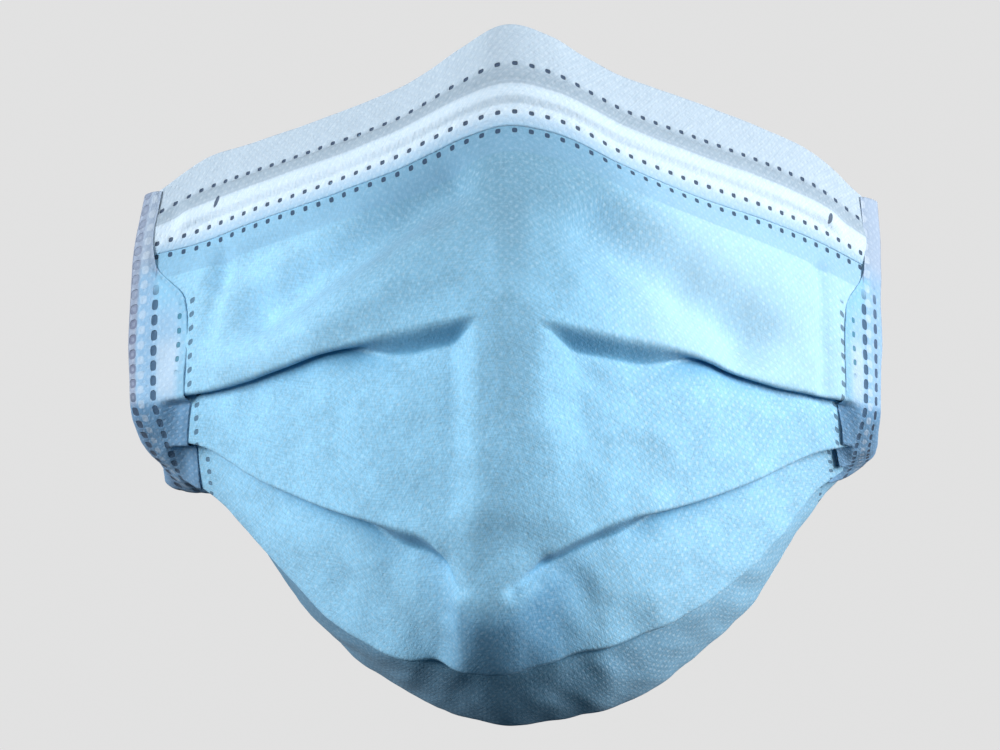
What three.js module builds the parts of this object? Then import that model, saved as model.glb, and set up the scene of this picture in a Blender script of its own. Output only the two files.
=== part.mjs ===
// A disposable pleated face mask in its worn shape: the blue pleated cloth, the white hem over its
// top edge with the flat nose wire inside, and a white binding folded round each side edge.
// Millimetres. +X runs across the face, the outer side faces -Y and the wearer is on +Y, +Z is up.
// The origin lies on the middle line in the plane of the side edges, where the mask sits on the face.
import * as THREE from 'three';

// Driving sizes of the worn mask
const wornHeight = 126;
const halfWidth = 68;
const noseDepth = 50;

// Cloth and the room between layers and pieces
const clothWall = 1;
const hemWall = 0.9;
const bindingWall = 0.9;
const pieceGap = 0.3;
const bindingGap = 0.6;

// Pleats: how far a pleat laps over itself at the sides and where it begins to gape, and how far
// it steps back at the sides
const pleatLap = 5;
const leastLap = 2.2;
const pleatStep = 3;

// How far a gaping pleat's slope runs past its edge and its valley, and the share of its run at
// which it is fully down
const rampRun = 0.9;
const rampFlat = 0.9;

// The length over which the panel below the last pleat comes forward again, where the mask is short
const lastPanelRise = 14;

// Nose wire and the channel that it lies in
const wireWidth = 3.5;
const wireThickness = 0.6;
const wireReach = 0.84;
const wirePlace = 0.59;
const channelRamp = 1.4;

// The channel flattens out between these places past the wire's end
const channelEndFrom = 0.04;
const channelEndTo = 0.1;

// The hem's front and back flaps, as shares of the way from the top edge to the hem line
const hemFront = 0.96;
const hemBack = 0.8;

// Side bindings: how far each goes past the cloth's edge, how far it covers the back, and how much
// of a pleat's step its front flap follows
const bindingOverhang = 3.1;
const bindingBackFlap = 8;
const bindingFollow = 0.5;

// Places across the mask, as shares of the half width at that height
const across = [-1, -0.85, -0.7, -0.5, -0.3, -0.2, -0.12, 0, 0.12, 0.2, 0.3, 0.5, 0.7, 0.85, 1];

// The lines that run across the mask, from the top edge down. heights are shares of wornHeight at
// each place in across. ridge and edge are how far behind the face seat the line lies on the middle
// line and at the side edges, as shares of noseDepth, and bend is how it curves between them.
// left and right are the half widths on each side, as shares of halfWidth.
// The middle line's height is the eighth of each fifteen.
const crossLines = [
  { name: 'top edge', ridge: -0.54, edge: 0.2, bend: 1, left: 0.949, right: 0.978,
    heights: [0.271, 0.321, 0.343, 0.373, 0.409, 0.437, 0.464, 0.496,
      0.48, 0.456, 0.43, 0.398, 0.362, 0.328, 0.265] },
  { name: 'hem line', ridge: -0.7, edge: 0.08, bend: 1.35, left: 0.971, right: 0.985,
    heights: [0.169, 0.185, 0.212, 0.245, 0.281, 0.305, 0.323, 0.341,
      0.332, 0.316, 0.288, 0.247, 0.216, 0.188, 0.152] },
  { name: 'first pleat', ridge: -1, edge: 0, bend: 1.4, left: 0.982, right: 0.988,
    heights: [-0.034, -0.026, -0.009, 0.028, 0.057, 0.068, 0.076, 0.081,
      0.068, 0.06, 0.05, 0.028, -0.011, -0.029, -0.043] },
  { name: 'second pleat', ridge: -0.92, edge: 0.13, bend: 1.7, left: 0.965, right: 0.978,
    heights: [-0.097, -0.103, -0.144, -0.184, -0.214, -0.232, -0.298, -0.299,
      -0.248, -0.225, -0.203, -0.18, -0.145, -0.114, -0.101] },
  { name: 'third pleat', ridge: -0.7, edge: 0.32, bend: 2, left: 0.926, right: 0.971,
    heights: [-0.139, -0.179, -0.246, -0.348, -0.399, -0.405, -0.415, -0.417,
      -0.401, -0.39, -0.381, -0.337, -0.263, -0.179, -0.127] },
  { name: 'lowest line', ridge: -0.32, edge: 0.4, bend: 1.8, left: 0.912, right: 0.956,
    heights: [-0.157, -0.186, -0.271, -0.382, -0.451, -0.473, -0.487, -0.501,
      -0.495, -0.487, -0.473, -0.418, -0.33, -0.227, -0.143] },
  { name: 'bottom edge', ridge: -0.08, edge: 0.46, bend: 1.8, left: 0.904, right: 0.949,
    heights: [-0.172, -0.18, -0.262, -0.372, -0.435, -0.455, -0.466, -0.47,
      -0.468, -0.462, -0.448, -0.4, -0.315, -0.215, -0.156] },
];
const hemRow = 1;
const bottomRow = crossLines.length - 1;

// How each pleat opens towards the middle, on each side: it is a closed lap from the side edge to
// closedFrom, gapes from there to openTo with its valley gape below its edge and stepped back by
// openStep, and has run out at tip. Places are shares of the half width, lengths are millimetres.
const pleats = [
  { row: 2, left: { tip: 0.06, openTo: 0.33, closedFrom: 0.43, gape: 3.4, openStep: 4.2 },
    right: { tip: 0.07, openTo: 0.44, closedFrom: 0.54, gape: 2.8, openStep: 4.2 } },
  { row: 3, left: { tip: 0.12, openTo: 0.31, closedFrom: 0.42, gape: 3.6, openStep: 4.4 },
    right: { tip: 0.02, openTo: 0.34, closedFrom: 0.45, gape: 3, openStep: 4 } },
  { row: 4, left: { tip: -1, openTo: 0.4, closedFrom: 0.62, gape: 3.4, openStep: 3.4 },
    right: { tip: -1, openTo: 0.4, closedFrom: 0.62, gape: 3.4, openStep: 3.4 } },
];

// A pleat's gape is full from this share of the way between its tip and its openTo, and its lap is
// full from this place across
const fullGape = 0.6;
const fullLap = 0.9;

// Soft folds pressed into the cloth between two places, each place as a share across and a share of
// wornHeight. reach is the half width of the fold and push how deep it dents, negative where it
// stands out.
const softFolds = [
  { name: 'left cheek crease', from: [-0.66, 0.09], to: [-0.16, 0.27], reach: 4.5, push: 1.5 },
  { name: 'left cheek swell', from: [-0.72, 0.02], to: [-0.2, 0.17], reach: 5, push: -0.9 },
  { name: 'right cheek crease', from: [0.24, 0.21], to: [0.64, 0.05], reach: 4.5, push: 1.6 },
  { name: 'right cheek swell', from: [0.3, 0.27], to: [0.75, 0.12], reach: 5, push: -0.8 },
  { name: 'left side fold', from: [-0.78, 0.18], to: [-0.82, 0.03], reach: 2.6, push: 1.2 },
  { name: 'right side fold', from: [0.86, 0.15], to: [0.88, -0.02], reach: 2.6, push: 1.2 },
  { name: 'left chin crease', from: [-0.46, -0.3], to: [-0.2, -0.39], reach: 3.5, push: 1.2 },
  { name: 'right chin crease', from: [0.2, -0.3], to: [0.36, -0.37], reach: 3.5, push: 1 },
];

// The folds are at full depth below this row, from nothing above it at the hem, and fade out towards
// the side edges from this place across
const foldsFullRow = 1.25;
const foldsNoneRow = 0.8;
const foldsFadeFrom = 0.92;

// How sharp the ridge over the nose and chin is: the share of the half width that it is rounded over
const ridgeRound = 0.08;

// The side edges flare forward past this share of the half width, by so much on each side
const flareFrom = 0.78;
const flareLeft = 4.4;
const flareRight = 0.6;

// How finely the pieces are faceted: columns across the mask and how much closer together they are
// at the middle and the side edges, the steps down each panel above a pleat and down the last one,
// the steps of the hem's turn, and a binding's longest step down its edge and its steps across each
// flap and round its turn
const columnCount = 36;
const columnCrowding = 0.3;
const panelSteps = [6, 4, 4];
const lastPanelSteps = 4;
const hemTurnSteps = 5;
const bindingStep = 4;
const flapSteps = 4;
const bindingTurnSteps = 4;

// A wall's sides are moved out at a bend, by at most this much
const mitreLimit = 1.08;
const leastTurnCosine = 0.5;

const smooth = (low, high, x) => {
  const t = Math.min(1, Math.max(0, (x - low) / (high - low)));
  return t * t * (3 - 2 * t);
};
const mix = (a, b, t) => a + (b - a) * t;

// A smooth curve through values at rising knots, going on straight past both ends.
function throughKnots(knots, values, x) {
  const last = knots.length - 1;
  const slope = (i) => {
    const low = Math.max(0, i - 1);
    const high = Math.min(last, i + 1);
    return (values[high] - values[low]) / (knots[high] - knots[low]);
  };
  if (x <= knots[0]) return values[0] + slope(0) * (x - knots[0]);
  if (x >= knots[last]) return values[last] + slope(last) * (x - knots[last]);
  let i = 0;
  while (x > knots[i + 1]) i += 1;
  const span = knots[i + 1] - knots[i];
  const t = (x - knots[i]) / span;
  const t2 = t * t;
  const t3 = t2 * t;
  return (2 * t3 - 3 * t2 + 1) * values[i] + (t3 - 2 * t2 + t) * span * slope(i)
    + (3 * t2 - 2 * t3) * values[i + 1] + (t3 - t2) * span * slope(i + 1);
}

// Where one cross line passes, at u across.
function linePoint(line, u) {
  const rounded = (Math.hypot(u, ridgeRound) - ridgeRound) / (Math.hypot(1, ridgeRound) - ridgeRound);
  const pastFlare = Math.max(0, Math.abs(u) - flareFrom) / (1 - flareFrom);
  const flare = (u < 0 ? flareLeft : flareRight) * pastFlare ** 2;
  return new THREE.Vector3(
    u * halfWidth * (u < 0 ? line.left : line.right),
    noseDepth * mix(line.ridge, line.edge, rounded ** line.bend) - flare,
    wornHeight * throughKnots(across, line.heights, u),
  );
}

// One column of the mask at u across: its points on the cross lines, and how far down each lies.
const columns = new Map();
function column(u) {
  if (columns.has(u)) return columns.get(u);
  const points = crossLines.map((line) => linePoint(line, u));
  const down = [0];
  for (let i = 1; i < points.length; i += 1) down.push(down[i - 1] + points[i].distanceTo(points[i - 1]));
  const made = { down, x: points.map((p) => p.x), y: points.map((p) => p.y), z: points.map((p) => p.z) };
  columns.set(u, made);
  return made;
}

// The unpleated surface at u across and row, where a whole row is a cross line.
function surfacePoint(u, row) {
  const { down, x, y, z } = column(u);
  const i = Math.min(bottomRow - 1, Math.max(0, Math.floor(row)));
  const way = down[i] + (row - i) * (down[i + 1] - down[i]);
  return new THREE.Vector3(...[x, y, z].map((places) => throughKnots(down, places, way)));
}

// The row that lies a length further down the column than another.
function rowAt(u, way) {
  const { down } = column(u);
  let i = 0;
  while (i < bottomRow - 1 && way > down[i + 1]) i += 1;
  return i + (way - down[i]) / (down[i + 1] - down[i]);
}
const wayAt = (u, row) => {
  const { down } = column(u);
  const i = Math.min(bottomRow - 1, Math.max(0, Math.floor(row)));
  return mix(down[i], down[i + 1], row - i);
};

// The direction from the surface towards the wearer.
function inward(u, row) {
  const du = 0.01;
  const dRow = 0.02;
  const alongU = surfacePoint(u + du, row).sub(surfacePoint(u - du, row));
  const alongRow = surfacePoint(u, row + dRow).sub(surfacePoint(u, row - dRow));
  return alongU.cross(alongRow).normalize();
}

// How far the soft folds push the cloth inwards at a point.
function foldPush(u, point) {
  let push = 0;
  for (const fold of softFolds) {
    const a = new THREE.Vector2(fold.from[0] * halfWidth, fold.from[1] * wornHeight);
    const b = new THREE.Vector2(fold.to[0] * halfWidth, fold.to[1] * wornHeight);
    const p = new THREE.Vector2(u * halfWidth, point.z);
    const along = b.clone().sub(a);
    const t = Math.min(1, Math.max(0, p.clone().sub(a).dot(along) / along.lengthSq()));
    const away = p.distanceTo(a.addScaledVector(along, t)) / fold.reach;
    push += fold.push * Math.exp(-away * away);
  }
  return push;
}

// A place on the mask: u across, way down the column, and depth behind the surface.
function place(u, way, depth) {
  const row = rowAt(u, way);
  const point = surfacePoint(u, row);
  const foldShare = smooth(foldsNoneRow, foldsFullRow, row) * smooth(1, foldsFadeFrom, Math.abs(u));
  return point.addScaledVector(inward(u, row), depth + foldShare * foldPush(u, point));
}

// How a pleat stands at u across: its lap where it is closed, its gape where it is open, its step
// back, and how open it is.
function pleatAt(pleat, u) {
  const side = u < 0 ? pleat.left : pleat.right;
  const open = 1 - smooth(side.openTo, side.closedFrom, Math.abs(u));
  const fade = smooth(side.tip, mix(side.tip, side.openTo, fullGape), Math.abs(u));
  const lap = mix(leastLap, pleatLap, smooth(side.closedFrom, fullLap, Math.abs(u)));
  return { lap, gape: side.gape * fade, step: mix(pleatStep, side.openStep * fade, open), open };
}

// How deep the panel below a pleat lies behind the surface. Under the pleat's lap it keeps a step
// behind the panel above, and from the pleat's edge it comes forward again to the next edge.
function panelDepth(u, pleatIndex, way) {
  if (pleatIndex < 0) return 0;
  const { step } = pleatAt(pleats[pleatIndex], u);
  const start = wayAt(u, pleats[pleatIndex].row);
  if (way < start) return panelDepth(u, pleatIndex - 1, way) + step;
  const end = wayAt(u, pleats[pleatIndex].row + 1);
  const isLast = pleatIndex === pleats.length - 1;
  const length = isLast ? Math.max(end - start, lastPanelRise) : end - start;
  return step * Math.max(0, 1 - (way - start) / length);
}

// A turn from one layer of a pleat to the next: how far each point stays back from the fold, as a
// share of the turn's radius, and how far it has gone from layer to layer.
const turnShape = [[1, 0], [0.3, 0.15], [0, 0.5], [0.3, 0.85], [1, 1]];

// The middle of the pleated cloth at u across, from the hem to the bottom edge.
function clothPath(u) {
  const path = [[hemRise, 0]];
  pleats.forEach((pleat, index) => {
    const { lap, gape, step, open } = pleatAt(pleat, u);
    const edge = wayAt(u, pleat.row);
    const valley = edge - lap;
    const turn = Math.min(step, pleatStep) / 4;
    const outer = (way) => panelDepth(u, index - 1, way);
    const inner = (way) => panelDepth(u, index, way);
    const middle = (way) => (outer(way) + inner(way)) / 2;
    const lapped = [
      ...turnShape.map(([back, gone]) => [edge - back * turn, outer, middle, gone]),
      ...turnShape.toReversed().map(([back, gone]) => [valley + back * turn, middle, inner, 1 - gone]),
    ].map(([way, from, to, gone]) => [way, mix(from(way), to(way), gone)]);
    const rampStart = edge - rampRun;
    const rampEnd = edge + gape + rampRun;
    const fold = lapped.map(([lappedWay, lappedDepth], i) => {
      const t = i / (lapped.length - 1);
      const rampWay = mix(rampStart, rampEnd, t);
      const rampDepth = mix(outer(rampWay), inner(rampWay), smooth(0, rampFlat, t));
      return [mix(lappedWay, rampWay, open), mix(lappedDepth, rampDepth, open)];
    });
    const panelStart = path.at(-1)[0];
    for (let i = 1; i < panelSteps[index]; i += 1) {
      const way = mix(panelStart, fold[0][0], i / panelSteps[index]);
      path.push([way, outer(way)]);
    }
    path.push(...fold);
  });
  const panelStart = path.at(-1)[0];
  const bottom = wayAt(u, bottomRow);
  for (let i = 1; i <= lastPanelSteps; i += 1) {
    const way = mix(panelStart, bottom, i / lastPanelSteps);
    path.push([way, panelDepth(u, pleats.length - 1, way)]);
  }
  return path;
}

// The two sides of a wall of a given thickness whose middle follows a flat path.
function wallSides(path, thickness) {
  return path.map((point, i) => {
    const before = path[Math.max(0, i - 1)];
    const after = path[Math.min(path.length - 1, i + 1)];
    const first = new THREE.Vector2(point[0] - before[0], point[1] - before[1]);
    const second = new THREE.Vector2(after[0] - point[0], after[1] - point[1]);
    if (i === 0) first.copy(second);
    if (i === path.length - 1) second.copy(first);
    const bisector = first.normalize().add(second.normalize());
    const normal = new THREE.Vector2(-bisector.y, bisector.x).normalize();
    const turnCosine = Math.max(leastTurnCosine, new THREE.Vector2(-second.y, second.x).dot(normal));
    const straighten = Math.min(mitreLimit, 1 / turnCosine);
    normal.multiplyScalar(thickness * straighten / 2);
    return {
      outer: [point[0] - normal.x, point[1] - normal.y],
      inner: [point[0] + normal.x, point[1] + normal.y],
    };
  });
}

// A closed solid from a row of like sections, each a ring of points in order.
function solidFromRings(rings) {
  const size = rings[0].length;
  const positions = rings.flat().flatMap((p) => [p.x, p.y, p.z]);
  const index = [];
  for (let i = 0; i < rings.length - 1; i += 1) {
    for (let j = 0; j < size; j += 1) {
      const a = i * size + j;
      const b = i * size + ((j + 1) % size);
      index.push(a, b, b + size, a, b + size, a + size);
    }
  }
  // The two ends: each section is two facing sides, so the ends are closed by strips between them.
  const half = size / 2;
  const lastRing = (rings.length - 1) * size;
  for (let j = 0; j < half - 1; j += 1) {
    const a = j;
    const b = j + 1;
    const c = size - 2 - j;
    const d = size - 1 - j;
    index.push(a, c, b, a, d, c);
    index.push(lastRing + a, lastRing + b, lastRing + c, lastRing + a, lastRing + c, lastRing + d);
  }
  const geometry = new THREE.BufferGeometry();
  geometry.setAttribute('position', new THREE.Float32BufferAttribute(positions, 3));
  geometry.setIndex(signedVolume(positions, index) < 0 ? index.toReversed() : index);
  geometry.computeVertexNormals();
  return geometry;
}

function signedVolume(positions, index) {
  const at = (i) => new THREE.Vector3().fromArray(positions, 3 * i);
  let volume = 0;
  for (let i = 0; i < index.length; i += 3) {
    volume += at(index[i]).dot(at(index[i + 1]).cross(at(index[i + 2]))) / 6;
  }
  return volume;
}

// A wall that runs across the mask, from a path for each place in us.
function wallAcross(us, pathAt, thickness) {
  return solidFromRings(us.map((u) => {
    const sides = wallSides(pathAt(u), thickness);
    const outer = sides.map((s) => place(u, ...s.outer));
    const inner = sides.map((s) => place(u, ...s.inner));
    return [...outer, ...inner.reverse()];
  }));
}

// Places across for the columns, closest together at the middle and at both ends.
function columnPlaces(reach) {
  const places = [];
  for (let i = 0; i < columnCount; i += 1) {
    const t = 2 * i / (columnCount - 1) - 1;
    places.push(reach * (t - columnCrowding * Math.sin(2 * Math.PI * t) / (2 * Math.PI)));
  }
  return places;
}

// The hem's mid wall lies this far off the cloth's middle, in front of it and behind it.
const hemOffset = clothWall / 2 + pieceGap + hemWall / 2;
const hemRise = hemOffset + hemWall / 2;
const wireDepth = clothWall / 2 + pieceGap + wireThickness / 2;
const channelRise = wireThickness + pieceGap;
const wireWay = (u) => wirePlace * wayAt(u, hemRow);

// The hem's middle: up the front over the wire, round the top edge and down the back.
function hemPath(u) {
  const depth = wayAt(u, hemRow);
  const wire = wireWay(u);
  const flat = wireWidth / 2 + pieceGap;
  const past = Math.abs(u) - wireReach;
  const rise = channelRise * (1 - smooth(channelEndFrom, channelEndTo, past));
  const path = [
    [hemFront * depth, -hemOffset],
    [wire + flat + channelRamp, -hemOffset],
    [wire + flat, -hemOffset - rise],
    [wire - flat, -hemOffset - rise],
    [wire - flat - channelRamp, -hemOffset],
    [(hemRise + wire - flat - channelRamp) / 2, -hemOffset],
  ];
  for (let i = 0; i <= hemTurnSteps; i += 1) {
    const angle = Math.PI * i / hemTurnSteps;
    path.push([hemRise - hemOffset * Math.sin(angle), -hemOffset * Math.cos(angle)]);
  }
  path.push([(hemRise + hemBack * depth) / 2, hemOffset], [hemBack * depth, hemOffset]);
  return path;
}

function wirePath(u) {
  return [[wireWay(u) - wireWidth / 2, -wireDepth], [wireWay(u) + wireWidth / 2, -wireDepth]];
}

// How wide the binding's front flap is, on each side, at rows down the side edge. It is narrow
// where the hem ends on it and widens below the hem.
const flapRows = [0, 1.05, 1.35, 2, 3, 4, 6];
const flapWidths = {
  left: [1.2, 1.8, 8.6, 9.6, 10, 11, 11],
  right: [1.2, 1.8, 7.6, 8.6, 9, 9.5, 9.5],
};

// The front flap follows a pleat's step between these lengths below the pleat's edge, the back flap
// nears a valley over a length above it, and the two settle from the hem onto the thinner cloth by
// these rows
const followFrom = 0.6;
const followFull = 2.2;
const backSettle = 8;
const frontSettled = 1.12;
const backSettled = 1.5;

// A binding's depth over the cloth it covers, by its thickness and the gap between them.
const overHem = bindingWall / 2 + bindingGap + hemRise;
const overCloth = bindingWall / 2 + bindingGap + clothWall / 2;

// How deep the binding's front flap lies at u across and row.
function frontFlapDepth(u, row) {
  const way = wayAt(u, row);
  let dip = 0;
  pleats.forEach((pleat, index) => {
    const past = way - wayAt(u, pleat.row);
    if (past > 0) dip = bindingFollow * smooth(followFrom, followFull, past) * panelDepth(u, index, way);
  });
  return dip - mix(overHem, overCloth, smooth(hemRow, frontSettled, row));
}

// How deep the binding's back flap lies at a row: behind the deepest layer of cloth there, which it
// nears over a length of its own above each valley.
function backFlapDepth(side, row) {
  const way = wayAt(side, row);
  const layers = pleats.map((pleat, index) => {
    const valley = wayAt(side, pleat.row) - pleatLap;
    return panelDepth(side, index, Math.max(way, valley)) * smooth(valley - backSettle, valley, way);
  });
  const hemLeft = (overHem - overCloth) * (1 - smooth(hemRow, backSettled, row));
  return overCloth + Math.max(hemLeft, ...layers);
}

// A binding's section at one row: along the front flap, round the cloth's edge and along the back.
function bindingRing(side, row) {
  const du = 0.02;
  const perUnit = surfacePoint(side, row).distanceTo(surfacePoint(side * (1 - du), row)) / du;
  const acrossAt = (outward) => side * (1 + outward / perUnit);
  const frontFlap = throughKnots(flapRows, side < 0 ? flapWidths.left : flapWidths.right, row);
  const front = frontFlapDepth(side, row);
  const back = backFlapDepth(side, row);
  const path = [];
  for (let i = 0; i < flapSteps; i += 1) {
    const outward = -frontFlap * (1 - i / flapSteps);
    path.push([outward, frontFlapDepth(acrossAt(outward), row)]);
  }
  for (let i = 0; i <= bindingTurnSteps; i += 1) {
    const angle = Math.PI * i / bindingTurnSteps;
    const swing = (back - front) / 2 * Math.cos(angle);
    path.push([bindingOverhang * Math.sin(angle), (front + back) / 2 - swing]);
  }
  for (let i = 1; i <= flapSteps; i += 1) path.push([-bindingBackFlap * i / flapSteps, back]);
  const sides = wallSides(path, bindingWall);
  const placed = ([outward, depth]) => {
    const u = acrossAt(outward);
    return surfacePoint(u, row).addScaledVector(inward(u, row), depth);
  };
  return [...sides.map((s) => placed(s.outer)), ...sides.map((s) => placed(s.inner)).reverse()];
}

// The lengths down a side edge at which a binding has a section: its ends, where the hem ends on it,
// both ends of each step that its front flap follows, and even steps between them.
function bindingWays(side) {
  const steps = pleats.flatMap(({ row }) => [wayAt(side, row) + followFrom, wayAt(side, row) + followFull]);
  const stops = [0, wayAt(side, hemRow), wayAt(side, frontSettled), ...steps, wayAt(side, bottomRow)];
  stops.sort((a, b) => a - b);
  const ways = [0];
  for (let i = 1; i < stops.length; i += 1) {
    const count = Math.ceil((stops[i] - stops[i - 1]) / bindingStep);
    for (let j = 1; j <= count; j += 1) ways.push(mix(stops[i - 1], stops[i], j / count));
  }
  return ways;
}

const bindingGeometry = (side) => solidFromRings(
  bindingWays(side).map((way) => bindingRing(side, rowAt(side, way))),
);

const finish = (color, roughness, metalness) => (
  new THREE.MeshStandardMaterial({ color, roughness, metalness })
);
const blueCloth = finish(0x8cc8eb, 0.85, 0);
const whiteCloth = finish(0xdbe9f4, 0.85, 0);
const bindingCloth = finish(0xb4d4ee, 0.8, 0);
const wireMetal = finish(0xd8d8da, 0.4, 0.9);

function piece(name, geometry, material) {
  const mesh = new THREE.Mesh(geometry, material);
  mesh.name = name;
  return mesh;
}

const mask = new THREE.Group();
mask.add(
  piece('mask_body', wallAcross(columnPlaces(1), clothPath, clothWall), blueCloth),
  piece('top_hem', wallAcross(columnPlaces(1), hemPath, hemWall), whiteCloth),
  piece('nose_wire', wallAcross(columnPlaces(wireReach), wirePath, wireThickness), wireMetal),
  piece('side_binding_left', bindingGeometry(-1), bindingCloth),
  piece('side_binding_right', bindingGeometry(1), bindingCloth),
);

export default mask;
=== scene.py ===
"""A disposable pleated face mask in its worn shape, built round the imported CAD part.

Each cloth piece is a thin closed wall that follows the same cross lines and pleats as the CAD source,
far more finely. The script is laid out as a Blender add-on and runs as a script.
"""
import math

import bpy
import numpy as np
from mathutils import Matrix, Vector


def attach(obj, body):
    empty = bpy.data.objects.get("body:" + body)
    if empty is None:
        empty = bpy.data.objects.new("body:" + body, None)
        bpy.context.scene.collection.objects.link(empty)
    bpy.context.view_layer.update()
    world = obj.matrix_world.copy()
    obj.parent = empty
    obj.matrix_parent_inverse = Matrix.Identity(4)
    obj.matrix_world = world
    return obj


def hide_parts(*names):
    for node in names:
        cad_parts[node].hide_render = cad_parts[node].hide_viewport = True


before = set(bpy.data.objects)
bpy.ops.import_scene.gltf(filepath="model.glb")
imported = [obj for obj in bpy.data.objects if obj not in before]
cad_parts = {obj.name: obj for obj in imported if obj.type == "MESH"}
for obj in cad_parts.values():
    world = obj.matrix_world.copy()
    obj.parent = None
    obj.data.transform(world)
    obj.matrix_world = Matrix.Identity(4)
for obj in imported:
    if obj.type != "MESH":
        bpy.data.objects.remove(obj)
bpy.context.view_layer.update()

bl_info = {
    "name": "Pleated Face Mask",
    "version": (1, 0, 0),
    "blender": (4, 5, 0),
    "location": "3D View > Sidebar > Face Mask",
    "description": "Builds a pleated disposable face mask over its CAD part",
    "category": "Object",
}

MM = 0.001

# How far round the mask each place across lies, as shares of the half width
ACROSS = [-1, -0.85, -0.7, -0.5, -0.3, -0.2, -0.12, 0, 0.12, 0.2, 0.3, 0.5, 0.7, 0.85, 1]

# The lines across the mask: name, depth on the middle line and at the sides as shares of the nose
# depth, the bend between, half widths left and right, and heights as shares of the worn height
CROSS_LINES = [
    ("top edge", -0.54, 0.2, 1, 0.949, 0.978,
     [0.271, 0.321, 0.343, 0.373, 0.409, 0.437, 0.464, 0.496,
      0.48, 0.456, 0.43, 0.398, 0.362, 0.328, 0.265]),
    ("hem line", -0.7, 0.08, 1.35, 0.971, 0.985,
     [0.169, 0.185, 0.212, 0.245, 0.281, 0.305, 0.323, 0.341,
      0.332, 0.316, 0.288, 0.247, 0.216, 0.188, 0.152]),
    ("first pleat", -1, 0, 1.4, 0.982, 0.988,
     [-0.034, -0.026, -0.009, 0.028, 0.057, 0.068, 0.076, 0.081,
      0.068, 0.06, 0.05, 0.028, -0.011, -0.029, -0.043]),
    ("second pleat", -0.92, 0.13, 1.7, 0.965, 0.978,
     [-0.097, -0.103, -0.144, -0.184, -0.214, -0.232, -0.298, -0.299,
      -0.248, -0.225, -0.203, -0.18, -0.145, -0.114, -0.101]),
    ("third pleat", -0.7, 0.32, 2, 0.926, 0.971,
     [-0.139, -0.179, -0.246, -0.348, -0.399, -0.405, -0.415, -0.417,
      -0.401, -0.39, -0.381, -0.337, -0.263, -0.179, -0.127]),
    ("lowest line", -0.32, 0.4, 1.8, 0.912, 0.956,
     [-0.157, -0.186, -0.271, -0.382, -0.451, -0.473, -0.487, -0.501,
      -0.495, -0.487, -0.473, -0.418, -0.33, -0.227, -0.143]),
    ("bottom edge", -0.08, 0.46, 1.8, 0.904, 0.949,
     [-0.172, -0.18, -0.262, -0.372, -0.435, -0.455, -0.466, -0.47,
      -0.468, -0.462, -0.448, -0.4, -0.315, -0.215, -0.156]),
]
HEM_ROW = 1
BOTTOM_ROW = len(CROSS_LINES) - 1

# Pleats: the row each lies on, and for each side where its tip is, where it is fully open and fully
# closed as shares of the half width, and in mm how wide it gapes and how far it steps back
PLEATS = [
    (2, (0.06, 0.27, 0.5, 3.6, 4.2), (0.07, 0.36, 0.6, 3.2, 4.2)),
    (3, (0.12, 0.28, 0.46, 3.6, 4.4), (0.02, 0.3, 0.5, 3.0, 4.0)),
    (4, (-1, 0.4, 0.62, 3.4, 3.4), (-1, 0.4, 0.62, 3.4, 3.4)),
]
# In mm: a closed pleat's lap at the sides and where it begins to close, and its step back
PLEAT_LAP = 5
LEAST_LAP = 2.2
PLEAT_STEP = 2.4
# In mm: how far an open pleat's ramp runs past its gape, and the least run in which the last panel
# comes back out
RAMP_RUN = 0.9
LAST_PANEL_RISE = 14
# Shares: where the ramp is down, where from tip to opening the gape is full, where across the lap is
RAMP_FLAT = 0.9
FULL_GAPE = 0.5
FULL_LAP = 0.9
# Painted shade: its reach in mm below a closed pleat, its strength there and inside an open one, and
# the places across between which the first fades
UNDER_REACH = 3.4
UNDER_SHADE = 0.95
HOLLOW_SHADE = 0.6
UNDER_FADE = (0.95, 0.6)

# Soft folds: from and to as shares across and of the worn height, half width in mm, and push in mm,
# negative where the cloth stands out
SOFT_FOLDS = [
    ("left cheek crease", (-0.66, 0.09), (-0.16, 0.27), 5.0, 4.2),
    ("left cheek swell", (-0.72, 0.02), (-0.2, 0.17), 5.0, -2.2),
    ("right cheek crease", (0.24, 0.21), (0.64, 0.05), 5.0, 3.8),
    ("right cheek swell", (0.3, 0.27), (0.75, 0.12), 5.5, -1.8),
    ("left side fold", (-0.785, 0.175), (-0.815, 0.05), 1.8, 1.5),
    ("right side fold", (0.855, 0.15), (0.868, -0.02), 1.7, 1.3),
    ("left chin crease", (-0.46, -0.3), (-0.2, -0.39), 3.5, 1.2),
    ("right chin crease", (0.2, -0.3), (0.36, -0.37), 3.5, 0.4),
    ("left upper wrinkle", (-0.8, 0.14), (-0.46, 0.24), 2.6, 1.4),
    ("right inner wrinkle", (0.14, 0.2), (0.34, 0.08), 3.2, 0.5),
    ("left middle wrinkle", (-0.5, 0.06), (-0.22, 0.13), 2.6, -0.5),
    ("left dart crease", (-0.165, -0.258), (-0.125, -0.295), 1.5, 1.2),
    ("right dart crease", (0.1, -0.262), (0.02, -0.298), 1.5, 1.2),
    ("left chin fold", (-0.34, -0.28), (-0.21, -0.4), 2.4, 0.3),
]
# The rows, and the places across on each side, between which the folds and the unevenness grow
FOLD_ROWS = (0.8, 1.25)
UNEVEN_ROWS = (1, 1.5)
FOLDS_FADE_LEFT = (0.88, 0.76)
FOLDS_FADE_RIGHT = (0.92, 0.84)
# Unevenness: seed, number of waves, and in mm the shortest and longest wave and the height
BODY_SWELLS = (11, 26, 9, 42, 0.42)
BODY_WRINKLES = (12, 24, 3.2, 8, 0.05)
HEM_WRINKLES = (21, 24, 5, 26, 0.14)
BINDING_WRINKLES = (31, 24, 4, 18, 0.14)

# The middle ridge's rounding and where the sides start to flare, as shares of the half width, and how
# far forwards they flare, in mm
RIDGE_ROUND = 0.08
FLARE_FROM = 0.78
FLARE_LEFT = 4.4
FLARE_RIGHT = 0.6

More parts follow.
